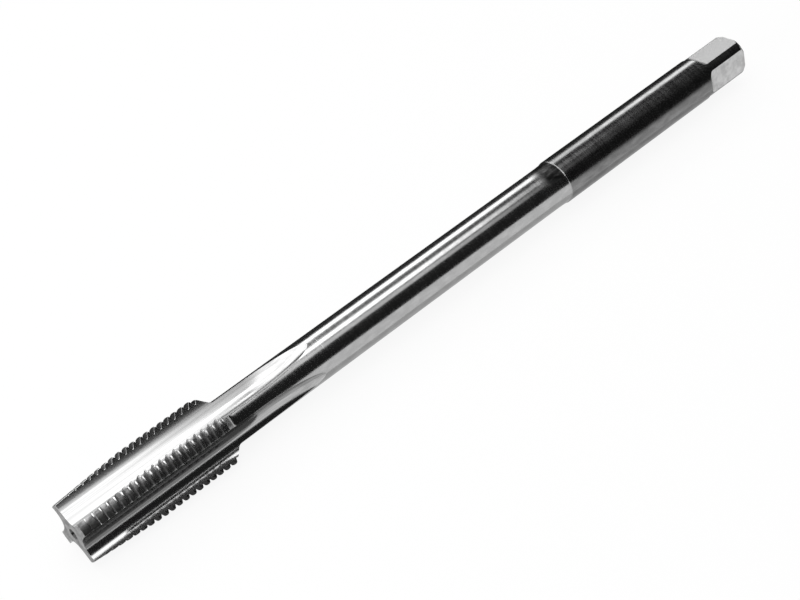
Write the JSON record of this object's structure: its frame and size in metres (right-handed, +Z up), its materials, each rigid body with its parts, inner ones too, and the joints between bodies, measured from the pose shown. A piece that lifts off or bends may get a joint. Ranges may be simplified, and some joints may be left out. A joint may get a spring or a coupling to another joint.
{
  "type": "thread tap",
  "caption": "Long-shank straight-flute tap that cuts an internal screw thread, with a long lead, a slim neck, a plain shank and a square drive end.",
  "frame": {"origin": "on the tap's axis, half way between the face of its cutting end and the face of its drive square", "axes": "+X along the axis from the cutting end to the drive square, +Z up with the tap lying down, one flute straight under the axis and a land on each side of it"},
  "size_m": [0.2264, 0.0156, 0.0156],
  "materials": {
    "tool_steel": "ground high-speed steel, polished neck and satin shank"
  },
  "bodies": {
    "root": {"thread_tap": "tool_steel"}
  },
  "joints": []
}
